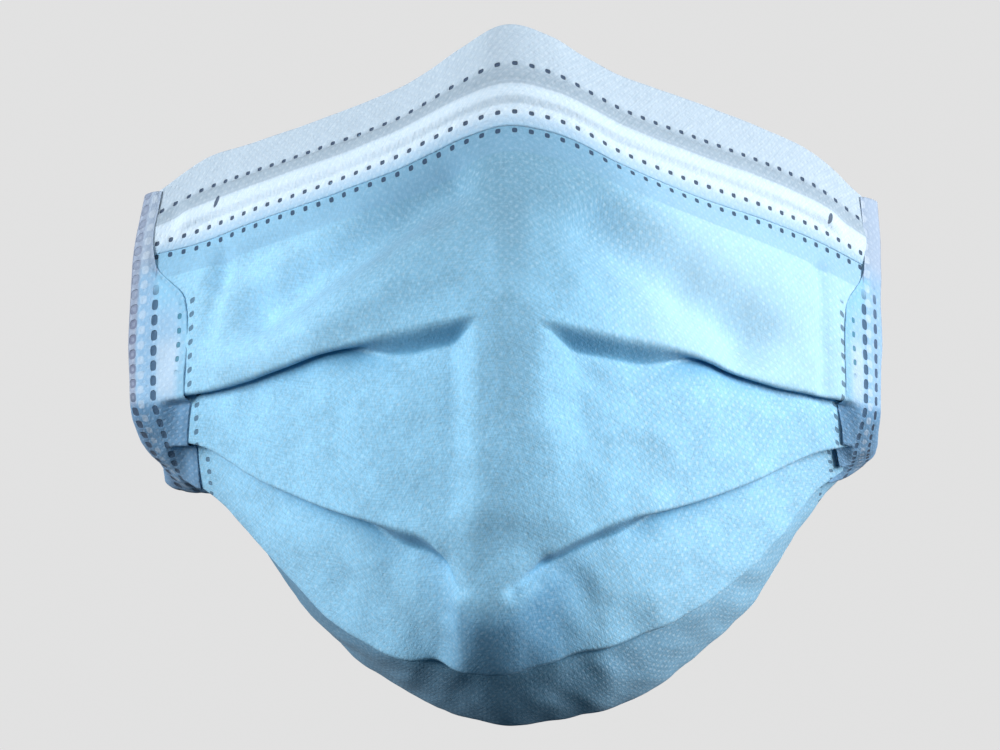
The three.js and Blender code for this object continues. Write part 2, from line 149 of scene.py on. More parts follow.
# Walls of the cloth as it is seen, in mm. The body's outer skin is that of the CAD solid.
CAD_SKIN = 0.5
BODY_WALL = 0.5
STRIP_WALL = 0.3
LAYER_GAP = 0.08
STRIP_OFF = CAD_SKIN + LAYER_GAP + STRIP_WALL / 2
BACK_OFF = LAYER_GAP + STRIP_WALL / 2

# The hem: its edges and rows of welds as shares of its depth, and its top and the welds' dents in mm
HEM_FRONT = 0.96
HEM_BACK = 0.8
HEM_TOP = 0.8
WELD_ROWS = (0.38, 0.83)
WELD_DENT = 0.28
WELD_DENT_REACH = 0.55
# The wire channel: its place as a share of the hem's depth, its reach and where past that it ends as
# shares of the half width, and its rise, half width and ramps in mm
WIRE_PLACE = 0.59
WIRE_REACH = 0.84
CHANNEL_ENDS = (0.04, 0.1)
CHANNEL_RISE = 0.9
CHANNEL_FLAT = 2.05
CHANNEL_RAMP = 1.6
# The slit marks over the wire's ends, as shares of the half width and of the hem's depth
SLIT_PLACES = (-0.795, 0.88)
SLIT_HEIGHTS = (0.62, 0.68)
# The row along which lengths across the mask are measured
LENGTH_ROW = 0.9

# Bindings: front flap widths and overhangs in mm at rows down the side edge
FLAP_ROWS = [0, 1.05, 1.35, 2, 3, 4, 6]
FLAP_LEFT = [1.2, 1.8, 8.6, 9.6, 10, 11, 11]
FLAP_RIGHT = [1.2, 1.8, 6.6, 7.6, 8.2, 8.8, 8.8]
OVERHANG_LEFT = [3.3, 3.1, 3.1, 3.2, 3.9, 3.8, 3.4]
OVERHANG_RIGHT = [4.2, 3.5, 3.3, 3.9, 5.6, 6.4, 6.4]
BINDING_START = 1.3
BACK_FLAP = 8
BINDING_WALL = 0.22
BINDING_GAP = 0.18
BINDING_OFF = CAD_SKIN + BINDING_GAP + BINDING_WALL / 2
# The share of a pleat's step that the front flap follows, and from and to where below the pleat and
# outward of the cloth's edge this grows, in mm
FOLLOW = 0.94
FOLLOW_BELOW = (0.4, 2.1)
FOLLOW_OUTWARD = (-3.5, -8)
# How far above a pleat the back flap settles, over how many steps it is evened, and the rows where the
# flaps are off the hem
BACK_SETTLE = 8
BACK_EVENED = 12
FRONT_SETTLED = 1.12
BACK_SETTLED = 1.5
# How far down each binding ends, in mm, at its flap and at its outer edge, and how this fades upwards
END_SHIFTS = {-1: (-1.0, -1.0), 1: (-8.0, -2.2)}
END_FADE = 11
# How steeply the upper ends rise, from where outward of the cloth's edge, and how this fades downwards
TOP_TILT = 0.75
TOP_TILT_FROM = -1.5
TOP_FADE = 3
# How far each outer edge swings out at its lower end, and between which rows and places outward, in mm
LOW_SWINGS = {-1: 0.0, 1: 1.6}
SWING_ROWS = (2.2, 4.5)
SWING_OUTWARD = (-4, 4)
# The strips' thin front edges: their thickness as a share of the wall, and in mm how wide they are and
# how far they settle on the cloth
THIN_EDGE = 0.35
HEM_THIN = 2.2
HEM_SETTLES = 0.07
FLAP_THIN = 1.6
FLAP_SETTLES = 0.12

# Rows of dashes on the bindings: mm outward of the cloth's edge at the same rows down the side edge
DASHES_LEFT = ([2.0, 2.0, 2.0, 1.8, 0.4, -0.4, -0.6], [-2.4, -2.4, -2.5, -3.0, -4.6, -4.4, -4.2])
DASHES_RIGHT = ([1.0, 1.0, 1.0, 1.0, 0.9, 0.8, 0.8], [-2.0, -2.0, -2.0, -2.2, -3.4, -3.6, -3.6])
INNER_DOTS_LEFT = -7.9
INNER_DOTS_RIGHT = -5.2
SIDE_DOTS_LEFT = 10.3
SIDE_DOTS_RIGHT = 7.6
DASH_PITCH = 2.75
DOT_PITCH = 2.5
SIDE_DOT_PITCH = 2.6
DASH_DENT = 0.14
DASH_DENT_REACH = 0.6
DASH_DENT_LONG = 1.5
# Where outward the bindings' rims are painted, in mm, and how high the cloths' reliefs are, in m
RIM = 3.1
CLOTH_RELIEF = 0.00006
STRIP_RELIEF = 0.00011

# How finely the pieces are drawn
BODY_COLUMNS = 200
PANEL_STEPS = (60, 48, 30)
LAST_PANEL_STEPS = 26
TURN_STEPS = 8
LAYER_STEPS = 4
HEM_COLUMNS = 400
HEM_FRONT_STEPS = 52
HEM_TURN_STEPS = 10
HEM_BACK_STEPS = 16
BINDING_STEP = 0.4
FLAP_STEPS = 27
BINDING_TURN_STEPS = 15
BACK_FLAP_STEPS = 12
# Small steps for slopes: across, down in rows, and inward from a side edge
U_STEP = 0.01
ROW_STEP = 0.02
EDGE_STEP = 0.02

# The backdrop's round floor and the wall that it turns up into, in m
ROOM_SIDES = 64
FLOOR_Z = -1.0
FLOOR_INNER = 0.05
FLOOR_REACH = 1.4
ROOM_BEND = 0.6
ROOM_BEND_STEPS = 12
WALL_TOP = 3.0
# Lamps: name, place and size in m, and watts. They all point at the mask.
LAMPS = [
    ("right_lamp", (0.94, -0.27, 0.28), (0.5, 0.6), 13.2),
    ("left_lamp", (-0.94, -0.27, 0.28), (0.5, 0.6), 11.1),
    ("front_lamp", (0, -0.95, 0.45), (0.7, 0.5), 3.0),
    ("back_lamp", (0, 0.9, 0.6), (0.6, 0.3), 5.0),
]
SKY_COLOUR = (0.5, 0.8, 1, 1)
SKY_STRENGTH = 0.08
CAMERA_PLACE = (-0.0011, -0.75, 0)
CAMERA_LENS = 145.9


def smooth(low, high, x):
    t = np.clip((x - low) / (high - low), 0, 1)
    return t * t * (3 - 2 * t)


def mix(a, b, t):
    return a + (b - a) * t


def unit(vectors):
    return vectors / np.maximum(np.linalg.norm(vectors, axis=-1, keepdims=True), 1e-9)


def stacked(*parts):
    """Parts side by side along a new last axis."""
    return np.stack(np.broadcast_arrays(*parts), -1)


def length_along(points):
    """The length from point to point, from the first. Columns side by side."""
    steps = np.linalg.norm(np.diff(points, axis=0), axis=-1)
    return np.concatenate([np.zeros_like(steps[:1]), np.cumsum(steps, 0)])


def through_knots(knots, values, x):
    """A smooth curve through values at rising knots, straight past both ends. Columns side by side."""
    slope = np.empty_like(values)
    slope[1:-1] = (values[2:] - values[:-2]) / (knots[2:] - knots[:-2])
    slope[0] = (values[1] - values[0]) / (knots[1] - knots[0])
    slope[-1] = (values[-1] - values[-2]) / (knots[-1] - knots[-2])
    i = (x[None] > knots[1:-1, :, None]).sum(0)
    column = np.arange(knots.shape[1])[:, None]
    start, end = knots[i, column], knots[i + 1, column]
    span = end - start
    t = np.clip((x - start) / span, 0, 1)
    curve = (
        (2 * t**3 - 3 * t**2 + 1) * values[i, column]
        + (t**3 - 2 * t**2 + t) * span * slope[i, column]
        + (3 * t**2 - 2 * t**3) * values[i + 1, column]
        + (t**3 - t**2) * span * slope[i + 1, column]
    )
    before = np.minimum(x - knots[0][:, None], 0) * slope[0][:, None]
    after = np.maximum(x - knots[-1][:, None], 0) * slope[-1][:, None]
    return curve + before + after


def at_places(places, values, x):
    """A smooth curve through one list of values at rising places, at each x."""
    knots = np.array(places, float)[:, None]
    values = np.array(values, float)[:, None]
    return through_knots(knots, values, np.ravel(x)[None])[0].reshape(np.shape(x))


class Columns:
    """The unpleated surface down the columns at places u across, in mm."""

    def __init__(self, u, sizes):
        self.u = u
        rounded = np.hypot(u, RIDGE_ROUND) - RIDGE_ROUND
        rounded = rounded / (math.hypot(1, RIDGE_ROUND) - RIDGE_ROUND)
        past = np.maximum(0, np.abs(u) - FLARE_FROM) / (1 - FLARE_FROM)
        flare = np.where(u < 0, FLARE_LEFT, FLARE_RIGHT) * past**2
        lines = []
        for _, ridge, edge, bend, left, right, heights in CROSS_LINES:
            x = u * sizes.half_width / MM * np.where(u < 0, left, right)
            y = sizes.nose_depth / MM * mix(ridge, edge, rounded**bend) - flare
            z = sizes.worn_height / MM * at_places(ACROSS, heights, u)
            lines.append(stacked(x, y, z))
        self.points = np.array(lines)
        self.down = length_along(self.points)

    def span(self, i):
        column = np.arange(len(self.u))[:, None]
        return self.down[i, column], self.down[i + 1, column]

    def way_at(self, row):
        """The length down each column at a row."""
        row = np.broadcast_to(row, (len(self.u), np.shape(row)[-1] if np.ndim(row) else 1))
        i = np.clip(np.floor(row), 0, BOTTOM_ROW - 1).astype(int)
        start, end = self.span(i)
        return start + (row - i) * (end - start)

    def row_at(self, way):
        """The row at a length down each column."""
        i = (way[None] > self.down[1:-1, :, None]).sum(0)
        start, end = self.span(i)
        return i + (way - start) / (end - start)

    def point(self, row):
        way = self.way_at(row)
        places = [through_knots(self.down, self.points[..., axis], way) for axis in range(3)]
        return np.stack(places, -1)


class Surface:
    """The mask's surface at places u across, with the way towards the wearer and the soft folds."""

    def __init__(self, u, sizes):
        self.u = u
        self.sizes = sizes
        self.middle = Columns(u, sizes)
        self.before = Columns(u - U_STEP, sizes)
        self.after = Columns(u + U_STEP, sizes)

    def way(self, row):
        return self.middle.way_at(row)

    def inward(self, row):
        along_u = self.after.point(row) - self.before.point(row)
        along_row = self.middle.point(row + ROW_STEP) - self.middle.point(row - ROW_STEP)
        return unit(np.cross(along_u, along_row))

    def fold_push(self, point):
        half, height = self.sizes.half_width / MM, self.sizes.worn_height / MM
        place = stacked(self.u[:, None] * half, point[..., 2])
        push = np.zeros(point.shape[:2])
        for _, start, end, reach, depth in SOFT_FOLDS:
            a = np.array(start) * (half, height)
            b = np.array(end) * (half, height)
            t = np.clip((place - a) @ (b - a) / ((b - a) @ (b - a)), 0, 1)
            away = np.linalg.norm(place - a - t[..., None] * (b - a), axis=-1) / reach
            push += depth * np.exp(-away * away)
        return push

    def placed(self, way, depth, wrinkle=0.0):
        """Points at a length down each column and a depth behind the surface, with the soft folds."""
        row = self.middle.row_at(way)
        point = self.middle.point(row)
        left, right = smooth(*FOLDS_FADE_LEFT, -self.u), smooth(*FOLDS_FADE_RIGHT, self.u)
        folds = smooth(*FOLD_ROWS, row) * self.fold_push(point)
        push = (left * right)[:, None] * (folds + smooth(*UNEVEN_ROWS, row) * wrinkle)
        return point + self.inward(row) * (depth + push)[..., None]


def pleat_at(pleat, u):
    """The lap, gape, step and openness of a pleat at places u across."""
    _, left, right = pleat
    tip, open_to, closed_from, gape, open_step = (
        np.where(u < 0, a, b) for a, b in zip(left, right)
    )
    reach = np.abs(u)
    opening = 1 - smooth(open_to, closed_from, reach)
    fade = smooth(tip, mix(tip, open_to, FULL_GAPE), reach)
    lap = mix(LEAST_LAP, PLEAT_LAP, smooth(closed_from, FULL_LAP, reach))
    return lap, gape * fade, mix(PLEAT_STEP, open_step * fade, opening), opening


def panel_depth(surface, index, way):
    """How deep the panel below a pleat lies behind the surface."""
    if index < 0:
        return np.zeros_like(way)
    step = pleat_at(PLEATS[index], surface.u)[2][:, None]
    row = PLEATS[index][0]
    start, end = surface.way(row), surface.way(row + 1)
    length = end - start
    if index == len(PLEATS) - 1:
        length = np.maximum(length, LAST_PANEL_RISE)
    under = panel_depth(surface, index - 1, way) + step
    below = step * np.maximum(0, 1 - (way - start) / length)
    return np.where(way < start, under, below)


def cloth_path(surface):
    """Down each column: the pleated cloth's way, depth and painted shade."""
    ways, depths, pleat_shades = [], [], []
    under = 0
    last = np.full((len(surface.u), 1), HEM_TOP)
    angles = np.linspace(0, math.pi, TURN_STEPS + 1)
    back, gone = 1 - np.sin(angles), (1 - np.cos(angles)) / 2
    between = np.linspace(0, 1, LAYER_STEPS + 2)[1:-1]
    for index, pleat in enumerate(PLEATS):
        lap, gape, step, opening = (a[:, None] for a in pleat_at(pleat, surface.u))
        edge = surface.way(pleat[0])
        valley = edge - lap
        turn = np.minimum(step, PLEAT_STEP) / 4
        top = edge - back * turn
        layer = mix(edge - turn, valley + turn, between)
        low = valley + back * turn
        way = np.concatenate([top, layer, low], 1)
        outer = panel_depth(surface, index - 1, way)
        inner = panel_depth(surface, index, way)
        half = np.concatenate([gone / 2, np.full(LAYER_STEPS, 0.5), 0.5 + gone / 2])
        depth = mix(outer, inner, half)
        t = np.linspace(0, 1, way.shape[1])
        ramp = mix(edge - RAMP_RUN, edge + gape + RAMP_RUN, t)
        ramp_outer = panel_depth(surface, index - 1, ramp)
        ramp_inner = panel_depth(surface, index, ramp)
        ramp_depth = mix(ramp_outer, ramp_inner, smooth(0, RAMP_FLAT, t))
        fold_way = mix(way, ramp, opening)
        fold_depth = mix(depth, ramp_depth, opening)
        count = PANEL_STEPS[index]
        panel = mix(last, fold_way[:, :1], np.arange(1, count) / count)
        # Painted shade inside an open pleat
        open_pleat_shade = smooth(0.05, 0.4, t) * smooth(1, 0.75, t) * opening * np.minimum(1, step / 3)
        ways += [panel, fold_way]
        depths += [panel_depth(surface, index - 1, panel), fold_depth]
        pleat_shades += [under * np.exp(-(((panel - last) / UNDER_REACH) ** 2)), open_pleat_shade * HOLLOW_SHADE]
        last = fold_way[:, -1:]
        # Painted shade for the panel below this pleat where it is closed, fading towards the sides
        under = (1 - opening) * smooth(*UNDER_FADE, np.abs(surface.u))[:, None] * UNDER_SHADE
    panel = mix(last, surface.way(BOTTOM_ROW), np.arange(1, LAST_PANEL_STEPS + 1) / LAST_PANEL_STEPS)
    ways.append(panel)
    depths.append(panel_depth(surface, len(PLEATS) - 1, panel))
    pleat_shades.append(0 * panel)
    return (np.concatenate(parts, 1) for parts in (ways, depths, pleat_shades))


def wall_sides(way, depth, thickness):
    """The outer and inner side of a wall whose middle runs along way and depth."""
    path = stacked(way, depth)
    steps = unit(np.diff(path, axis=1))
    first = np.concatenate([steps[:, :1], steps], 1)
    second = np.concatenate([steps, steps[:, -1:]], 1)
    bisector = unit(first + second)
    normal = stacked(-bisector[..., 1], bisector[..., 0])
    swing = normal * thickness / 2
    return path - swing, path + swing


def hem_lengths(surface):
    """The length across the mask at each column, from the middle line."""
    along = length_along(surface.middle.point(np.array([[LENGTH_ROW]]))[:, 0])
    return along - np.interp(0, surface.u, along)


def wrinkle_field(s, t, seed, waves, shortest, longest, height):
    """Low soft unevenness over the cloth."""
    random = np.random.default_rng(seed)
    total = np.zeros(np.broadcast(s, t).shape)
    weight = 0
    for _ in range(waves):
        length = shortest * (longest / shortest) ** random.random()
        angle = random.random() * math.pi
        phase = random.random() * 2 * math.pi
        size = (length / longest) ** 0.8
        along = s * math.cos(angle) + t * math.sin(angle)
        total += size * np.sin(2 * math.pi * along / length + phase)
        weight += size * size
    return total / math.sqrt(2 * weight) * height


def new_object(name, data):
    made = bpy.data.objects.new(name, data)
    bpy.context.scene.collection.objects.link(made)
    return made


def new_mesh(name, points, faces, material):
    mesh = bpy.data.meshes.new(name)
    mesh.from_pydata(points, [], faces)
    mesh.polygons.foreach_set("use_smooth", np.ones(len(faces), bool))
    mesh.materials.append(material)
    return mesh


def both_sides(outer, inner):
    """A ring from the outer side and back along the inner side."""
    return np.concatenate([outer, inner[:, ::-1]], 1)


def wall_object(name, sides, attributes, material):
    """A closed wall between two sides of points in mm. Each attribute has a vector for either side."""
    rings = both_sides(*sides)
    count, size = rings.shape[:2]
    i, j = np.meshgrid(np.arange(count - 1), np.arange(size), indexing="ij")
    a, b = i * size + j, i * size + (j + 1) % size
    around = np.stack([a, b, b + size, a + size], -1).reshape(-1, 4)
    j = np.arange(size // 2 - 1)
    cap = np.stack([j, size - 1 - j, size - 2 - j, j + 1], -1)
    far = (count - 1) * size + cap[:, ::-1]
    faces = np.concatenate([around, cap, far])
    points = rings.reshape(-1, 3) * MM
    corner = points[faces]
    normals = np.cross(corner[:, 2] - corner[:, 0], corner[:, 3] - corner[:, 1])
    if (corner.mean(1) * normals).sum() < 0:
        faces = faces[:, ::-1]
    mesh = new_mesh(name, points.tolist(), faces.tolist(), material)
    for label, values in attributes.items():
        layer = mesh.attributes.new(label, "FLOAT_VECTOR", "POINT")
        layer.data.foreach_set("vector", both_sides(*values).reshape(-1).astype(np.float32))
    mesh.update()
    return new_object(name, mesh)


class Value:
    """A number that varies over a surface. Sums on it add Math nodes."""

    def __init__(self, paint, socket):
        self.paint = paint
        self.socket = socket

    def math(self, operation, *others):
        values = dict(enumerate((self, *others)))
        return self.paint.node("ShaderNodeMath", {"operation": operation}, values)

    def __add__(self, other):
        return self.math("ADD", other)

    __radd__ = __add__

    def __mul__(self, other):
        return self.math("MULTIPLY", other)

    __rmul__ = __mul__

    def __sub__(self, other):
        return self.math("SUBTRACT", other)

    def __rsub__(self, other):
        return (self * -1) + other

    def __truediv__(self, other):
        return self.math("DIVIDE", other)

    def __pow__(self, power):
        return self.math("POWER", power)

    def __abs__(self):
        return self.math("ABSOLUTE")

    def rise(self, low, high, to_low=0.0, to_high=1.0):
        """Goes smoothly from to_low at low to to_high at high."""
        if low > high:
            low, high, to_low, to_high = high, low, to_high, to_low
        settings = {"interpolation_type": "SMOOTHSTEP"}
        values = {"Value": self, "From Min": low, "From Max": high, "To Min": to_low, "To Max": to_high}
        return self.paint.node("ShaderNodeMapRange", settings, values)

    def bump(self, centre, half, soft):
        """1 within half of centre, going to 0 over soft on both sides."""
        return abs(self - centre).rise(half + soft, half)


class Paint:
    """A material being made. Every node comes from node()."""

    def __init__(self, name):
        self.material = bpy.data.materials.new(name)
        self.material.use_nodes = True
        self.tree = self.material.node_tree
        self.tree.nodes.clear()

    def node(self, kind, settings, values, output=0):
        node = self.tree.nodes.new(kind)
        for setting, value in settings.items():
            setattr(node, setting, value)
        for socket, value in values.items():
            if isinstance(value, Value):
                self.tree.links.new(value.socket, node.inputs[socket])
            else:
                node.inputs[socket].default_value = value
        return Value(self, node.outputs[output])

    def parts(self, attribute):
        """The three numbers of a vector attribute."""
        settings = {"attribute_type": "GEOMETRY", "attribute_name": attribute}
        vector = self.node("ShaderNodeAttribute", settings, {}, "Vector")
        first = self.node("ShaderNodeSeparateXYZ", {}, {"Vector": vector})
        outputs = first.socket.node.outputs
        return [Value(self, outputs[axis]) for axis in "XYZ"]

    def blend(self, low, high, share):
        """A colour between two, by share."""
        settings = {"data_type": "RGBA", "clamp_factor": True}
        return self.node("ShaderNodeMix", settings, {0: share, 6: low, 7: high}, 2)

    def layers(self, colour, *coats):
        """A colour with others laid over it in turn, each by its share."""
        for coat, share in coats:
            colour = self.blend(colour, coat, share)
        return colour

    def noise(self, x, y, detail=2.0, z=0.0):
        vector = self.node("ShaderNodeCombineXYZ", {}, {"X": x, "Y": y, "Z": z})
        values = {"Vector": vector, "Scale": 1.0, "Detail": detail, "Roughness": 0.6}
        return self.node("ShaderNodeTexNoise", {"noise_dimensions": "3D"}, values)

    def streaks(self, s, t, angle, length, width, z=0.0):
        """Streaks of that length and width in mm, along angle from s towards t. About -1 to 1."""
        c, d = math.cos(math.radians(angle)), math.sin(math.radians(angle))
        along = s * (c / length) + t * (d / length)
        over = s * (-d / width) + t * (c / width)
        return (self.noise(along, over, 2.0, z) - 0.5) * 3.2

    def fibres(self, s, t):
        """A tangle of fibres lying every way, about -1 to 1."""
        parts = [self.streaks(s, t, angle, 2.2, 0.32, angle) for angle in (18, 72, 128)]
        return (parts[0] + parts[1] + parts[2]) * 0.6

    def bonds(self, s, t, pitch):
        """Bond points in a staggered lattice, 1 on a point."""
        across = 1 / (math.sqrt(2) * pitch)
        first = ((s + t) * across).math("FRACT") - 0.5
        second = ((s - t) * across).math("FRACT") - 0.5
        away = (first * first + second * second).math("SQRT")
        return away.rise(0.34, 0.14)

    def welds(self, along, off, pitch, half_long, half_high, soft=0.2):
        """A row of weld points of those half sizes, 1 on a point."""
        from_point = ((along / pitch).math("FRACT") - 0.5) * (pitch / half_long)
        away = abs(from_point) ** 3 + abs(off / half_high) ** 3
        return away.rise(1 + soft, 1 - soft)

    def cloth(self, colour, relief, high, roughness):
        """Finishes as a matt cloth with that colour and a relief that high."""
        normal = self.node("ShaderNodeBump", {}, {"Strength": 1.0, "Distance": high, "Height": relief})
        values = {
            "Base Color": colour,
            "Roughness": roughness,
            "Normal": normal,
            "Sheen Weight": 0.1,
            "Sheen Roughness": 0.6,
            "Specular IOR Level": 0.25,
        }
        shader = self.node("ShaderNodeBsdfPrincipled", {}, values)
        self.finish(shader)
        return self.material

    def finish(self, shader):
        output = self.tree.nodes.new("ShaderNodeOutputMaterial")
        self.tree.links.new(shader.socket, output.inputs["Surface"])


def rgb(red, green, blue):
    """A colour given in sRGB steps of 0 to 255, as the nodes take it."""
    def linear(value):
        value = value / 255
        return value / 12.92 if value <= 0.04045 else ((value + 0.055) / 1.055) ** 2.4
    return (linear(red), linear(green), linear(blue), 1)


def opaque(colour):
    return tuple(colour) + (1,)


def shade(colour, factor):
    return opaque(channel * factor for channel in colour[:3])


def blue_cloth(sizes):
    paint = Paint("blue_spunbond")
    s, t, inner = paint.parts("cloth")
    below_hem, side_row, crease = paint.parts("place")
    row_down = paint.parts("rows")[0]
    blue = opaque(sizes.cloth_colour)
    fibres = paint.fibres(s, t)
    patches = paint.noise(s * 0.16, t * 0.16, 3.0) - 0.5
    bonds = paint.bonds(s, t, sizes.bond_pitch / MM)
    lively = paint.noise(s * 0.7, t * 0.7, 2.0, 5.0).rise(0.32, 0.62, 0.15, 1.0)
    mottle = paint.noise(s * 1.5, t * 1.5, 3.0, 7.0).rise(0.46, 0.7)
    tone = fibres * 0.62 + patches * 1.1 + 0.5
    # Painted highlight: the cloth turns paler away from the middle above the first pleat, most towards
    # the right side
    pale = abs(s + 4).rise(12, 46) * s.rise(-20, 24, 0.14, 0.52) * row_down.rise(2.05, 1.95, 0.2, 1.0)
    # Painted shade: a thin darker line down the middle ridge below the hem
    ridge = s.bump(1, 1.2, 3) * below_hem.bump(34, 14, 12) * 0.22
    # Painted shade: darker over the upper middle, reaching further to the left
    centre_painted_shade = below_hem.rise(42, 8) * s.bump(-6, 12, 30) * 0.68
    # Painted shade: darker middle of the chin between the second and third pleats
    chin = row_down.rise(3.0, 3.4) * s.bump(1, 5, 15) * row_down.rise(4.05, 3.95)
    # Painted shade under the chin, below the third pleat, strongest on the left
    under_chin_painted_shade = row_down.rise(4.0, 4.35) * s.rise(70, 0, 0.25, 1.0)
    # Painted highlights on some bond points, more towards the right side
    painted_bond_highlights = bonds * lively * s.rise(6, 34, 0.12, 0.36)
    band = below_hem.bump(1.8, 2.2, 0.5)
    row = paint.welds(s, below_hem, sizes.weld_pitch / MM, 0.46, 0.46)
    side = paint.welds(t, side_row, SIDE_DOT_PITCH, 0.5, 0.5) * below_hem.rise(8, 9)
    welds = row.math("MAXIMUM", side * 0.75)
    lining = paint.blend(rgb(226, 230, 234), rgb(246, 248, 250), fibres * 0.3 + 0.5)
    colour = paint.layers(
        paint.blend(shade(blue, 0.76), shade(blue, 1.18), tone),
        (rgb(196, 229, 247), pale),
        # Painted shade over the upper middle and down the ridge
        (shade(blue, 0.46), centre_painted_shade + ridge),
        (rgb(40, 112, 160), chin * 0.6),
        (rgb(22, 76, 116), under_chin_painted_shade * 0.55),
        (rgb(222, 244, 254), painted_bond_highlights),
        (rgb(206, 233, 247), mottle * 0.2),
        # Painted shade in and below the pleats, from the crease part of place
        (rgb(36, 138, 188), crease * 0.85),
        (rgb(128, 174, 208), band * 0.4),
        (opaque(sizes.weld_colour), welds * 0.92),
        (lining, inner),
    )
    relief = fibres * 0.4 - bonds * 0.3 - welds * (1 - inner) * 2.0
    return paint.cloth(colour, relief, CLOTH_RELIEF, 0.9)


def white_hem(sizes, slits):
    paint = Paint("white_spunbond")
    s, t, _ = paint.parts("cloth")
    share, depth, front = paint.parts("place")
    fibres = paint.fibres(s, t)
    slanted = paint.streaks(s, t, -52, 3.4, 0.3, 9.0)
    bonds = paint.bonds(s, t, sizes.bond_pitch / MM)
    tone = fibres * 0.2 + slanted * 0.28 + 0.5
    flange = paint.blend(rgb(164, 186, 206), rgb(206, 223, 237), tone)
    # Painted shade: grey from the first weld row down to the wire's ridge
    grey = paint.blend(rgb(142, 164, 184), rgb(180, 199, 214), tone)
    bright = paint.blend(rgb(190, 217, 240), opaque(sizes.hem_colour), tone)
    pale = paint.blend(rgb(164, 200, 230), rgb(198, 223, 243), tone)
    behind = paint.blend(rgb(214, 226, 236), rgb(240, 244, 248), tone)
    ridge_line = share.bump(0.575, 0.006, 0.012)
    pitch = sizes.weld_pitch / MM
    first = paint.welds(s, (share - WELD_ROWS[0]) * depth, pitch, 0.48, 0.44)
    second = paint.welds(s, (share - WELD_ROWS[1]) * depth, pitch, 0.46, 0.46)
    welds = first.math("MAXIMUM", second) * front
    for place, height in zip(slits, SLIT_HEIGHTS):
        down = (share - height) * depth
        slit = (abs(s - place + down * 0.3) / 0.5) ** 2 + (abs(down) / 1.1) ** 2
        welds = welds.math("MAXIMUM", slit.rise(1.2, 0.8) * front * 0.95)
    colour = paint.layers(
        flange,
        (grey, share.rise(0.35, 0.43) * front),
        (bright, share.rise(0.53, 0.63) * front),
        (pale, share.rise(0.81, 0.9) * front),
        (rgb(146, 194, 226), share.rise(0.9, 0.955) * front * 0.6),
        (rgb(150, 176, 198), share.rise(0.045, 0.0) * front * 0.7),
        (rgb(138, 158, 178), ridge_line * front * 0.35),
        # Painted highlights: bond points a little lighter
        (rgb(246, 250, 253), bonds * 0.12),
        (opaque(sizes.weld_colour), welds * 0.92),
        (behind, 1 - front),
    )
    relief = fibres * 0.3 + slanted * 0.25 - bonds * 0.35 - welds * 2.2
    return paint.cloth(colour, relief, STRIP_RELIEF, 0.88)


